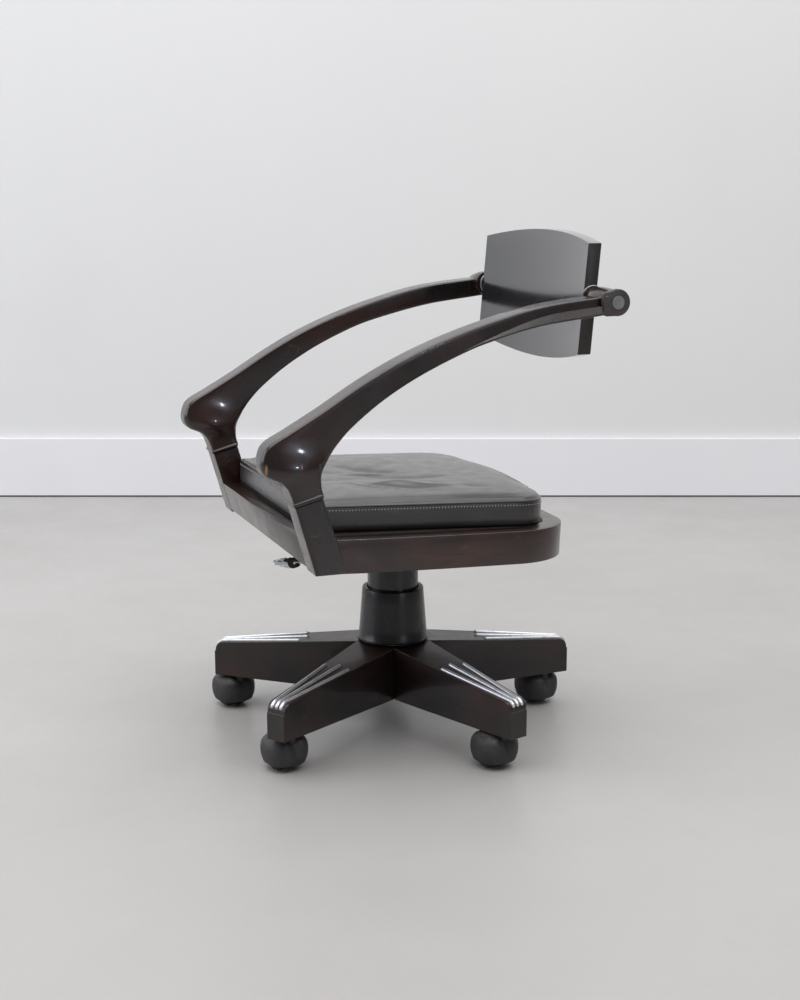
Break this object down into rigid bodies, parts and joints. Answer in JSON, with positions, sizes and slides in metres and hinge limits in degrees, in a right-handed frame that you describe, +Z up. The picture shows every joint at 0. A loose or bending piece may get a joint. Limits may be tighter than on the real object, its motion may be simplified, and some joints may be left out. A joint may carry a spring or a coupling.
{
  "type": "office chair",
  "caption": "Swivel armchair on a castored star base, with a leather cushion on a wooden seat frame, sweeping wooden arms and a small pivoting back panel.",
  "frame": {"origin": "on the floor, below the middle of the chair's outline", "axes": "+Z up; -Y is the way the sitter faces; +X is the sitter's left"},
  "size_m": [0.6187, 0.6178, 0.8296],
  "materials": {
    "leg_wood": "ebonised satin lacquer",
    "strip_aluminium": "brushed",
    "zinc_steel": "zinc plated",
    "black_tube_steel": "black",
    "ground_rod_steel": "ground",
    "column_paint": "satin black",
    "castor_plastic": "matte charcoal",
    "wheel_nylon": "matte",
    "stem_steel": "bright",
    "lift_black": "satin black",
    "frame_wood": "ebonised satin lacquer",
    "board_plywood": "raw",
    "plate_steel": "black",
    "lever_steel": "bright",
    "grip_rubber": "matte",
    "cushion_leather": "worn satin",
    "arm_wood": "ebonised, polished and worn",
    "panel_lacquer": "black gloss lacquer on bent plywood",
    "pin_metal": "satin grey",
    "collar_wood": "ebonised satin lacquer"
  },
  "bodies": {
    "base": {"leg_1": "leg_wood", "strip_1_left": "strip_aluminium", "strip_1_middle": "strip_aluminium", "strip_1_right": "strip_aluminium", "castor_stem_1": "stem_steel", "leg_2": "leg_wood", "strip_2_left": "strip_aluminium", "strip_2_middle": "strip_aluminium", "strip_2_right": "strip_aluminium", "castor_stem_2": "stem_steel", "leg_3": "leg_wood", "strip_3_left": "strip_aluminium", "strip_3_middle": "strip_aluminium", "strip_3_right": "strip_aluminium", "castor_stem_3": "stem_steel", "leg_4": "leg_wood", "strip_4_left": "strip_aluminium", "strip_4_middle": "strip_aluminium", "strip_4_right": "strip_aluminium", "castor_stem_4": "stem_steel", "leg_5": "leg_wood", "strip_5_left": "strip_aluminium", "strip_5_middle": "strip_aluminium", "strip_5_right": "strip_aluminium", "castor_stem_5": "stem_steel", "base_hub": "zinc_steel", "base_tube": "black_tube_steel", "piston_rod": "ground_rod_steel", "column_cover": "column_paint"},
    "lift": {"lift_cylinder": "lift_black"},
    "seat": {"lift_sleeve": "column_paint", "seat_plate": "plate_steel", "seat_board": "board_plywood", "seat_hoop": "frame_wood", "front_rail": "frame_wood", "seat_cushion": "cushion_leather", "arm_left": "arm_wood", "arm_right": "arm_wood", "pivot_pin_left": "pin_metal", "pivot_pin_right": "pin_metal"},
    "back": {"back_panel": "panel_lacquer", "panel_collar_left": "collar_wood", "panel_collar_right": "collar_wood"},
    "lever": {"lever_rod": "lever_steel", "lever_grip": "grip_rubber"},
    "castor_1": {"castor_hood_1": "castor_plastic"},
    "wheel_1_left": {"castor_wheel_1_left": "wheel_nylon"},
    "wheel_1_right": {"castor_wheel_1_right": "wheel_nylon"},
    "castor_2": {"castor_hood_2": "castor_plastic"},
    "wheel_2_left": {"castor_wheel_2_left": "wheel_nylon"},
    "wheel_2_right": {"castor_wheel_2_right": "wheel_nylon"},
    "castor_3": {"castor_hood_3": "castor_plastic"},
    "wheel_3_left": {"castor_wheel_3_left": "wheel_nylon"},
    "wheel_3_right": {"castor_wheel_3_right": "wheel_nylon"},
    "castor_4": {"castor_hood_4": "castor_plastic"},
    "wheel_4_left": {"castor_wheel_4_left": "wheel_nylon"},
    "wheel_4_right": {"castor_wheel_4_right": "wheel_nylon"},
    "castor_5": {"castor_hood_5": "castor_plastic"},
    "wheel_5_left": {"castor_wheel_5_left": "wheel_nylon"},
    "wheel_5_right": {"castor_wheel_5_right": "wheel_nylon"}
  },
  "joints": [
    {"name": "lift_slide", "type": "slide", "parent": "base", "child": "lift", "axis": [0, 0, 1], "range_m": [0, 0.07]},
    {"name": "seat_swivel", "type": "hinge", "parent": "lift", "child": "seat", "pos_m": [0, -0.012, 0.345], "axis": [0, 0, 1], "continuous": true},
    {"name": "back_tilt", "type": "hinge", "parent": "seat", "child": "back", "pos_m": [0, 0.2495, 0.727], "axis": [1, 0, 0], "range_deg": [-10, 12]},
    {"name": "lever_lift", "type": "hinge", "parent": "seat", "child": "lever", "pos_m": [0.0235, -0.068, 0.35], "axis": [-0.8285, -0.56, 0], "range_deg": [0, 4], "stiffness_Nm_per_rad": 1, "springref_deg": -2.86},
    {"name": "castor_1_swivel", "type": "hinge", "parent": "base", "child": "castor_1", "pos_m": [0.16387, -0.24174, 0.055], "axis": [0, 0, 1], "continuous": true},
    {"name": "wheel_1_left_roll", "type": "hinge", "parent": "castor_1", "child": "wheel_1_left", "pos_m": [0.14574, -0.24743, 0.0245], "axis": [-0.299, 0.9542, 0], "continuous": true},
    {"name": "wheel_1_right_roll", "type": "hinge", "parent": "castor_1", "child": "wheel_1_right", "pos_m": [0.14574, -0.24743, 0.0245], "axis": [-0.299, 0.9542, 0], "continuous": true},
    {"name": "castor_2_swivel", "type": "hinge", "parent": "base", "child": "castor_2", "pos_m": [0.26914, 0.07286, 0.055], "axis": [0, 0, 1], "continuous": true},
    {"name": "wheel_2_left_roll", "type": "hinge", "parent": "castor_2", "child": "wheel_2_left", "pos_m": [0.25101, 0.06718, 0.0245], "axis": [-0.299, 0.9542, 0], "continuous": true},
    {"name": "wheel_2_right_roll", "type": "hinge", "parent": "castor_2", "child": "wheel_2_right", "pos_m": [0.25101, 0.06718, 0.0245], "axis": [-0.299, 0.9542, 0], "continuous": true},
    {"name": "castor_3_swivel", "type": "hinge", "parent": "base", "child": "castor_3", "pos_m": [0.00246, 0.27019, 0.055], "axis": [0, 0, 1], "continuous": true},
    {"name": "wheel_3_left_roll", "type": "hinge", "parent": "castor_3", "child": "wheel_3_left", "pos_m": [-0.01567, 0.26451, 0.0245], "axis": [-0.299, 0.9542, 0], "continuous": true},
    {"name": "wheel_3_right_roll", "type": "hinge", "parent": "castor_3", "child": "wheel_3_right", "pos_m": [-0.01567, 0.26451, 0.0245], "axis": [-0.299, 0.9542, 0], "continuous": true},
    {"name": "castor_4_swivel", "type": "hinge", "parent": "base", "child": "castor_4", "pos_m": [-0.26762, 0.07754, 0.055], "axis": [0, 0, 1], "continuous": true},
    {"name": "wheel_4_left_roll", "type": "hinge", "parent": "castor_4", "child": "wheel_4_left", "pos_m": [-0.27176, 0.059, 0.0245], "axis": [-0.9759, 0.2181, 0], "continuous": true},
    {"name": "wheel_4_right_roll", "type": "hinge", "parent": "castor_4", "child": "wheel_4_right", "pos_m": [-0.27176, 0.059, 0.0245], "axis": [-0.9759, 0.2181, 0], "continuous": true},
    {"name": "castor_5_swivel", "type": "hinge", "parent": "base", "child": "castor_5", "pos_m": [-0.16786, -0.23885, 0.055], "axis": [0, 0, 1], "continuous": true},
    {"name": "wheel_5_left_roll", "type": "hinge", "parent": "castor_5", "child": "wheel_5_left", "pos_m": [-0.18599, -0.24453, 0.0245], "axis": [-0.299, 0.9542, 0], "continuous": true},
    {"name": "wheel_5_right_roll", "type": "hinge", "parent": "castor_5", "child": "wheel_5_right", "pos_m": [-0.18599, -0.24453, 0.0245], "axis": [-0.299, 0.9542, 0], "continuous": true}
  ]
}
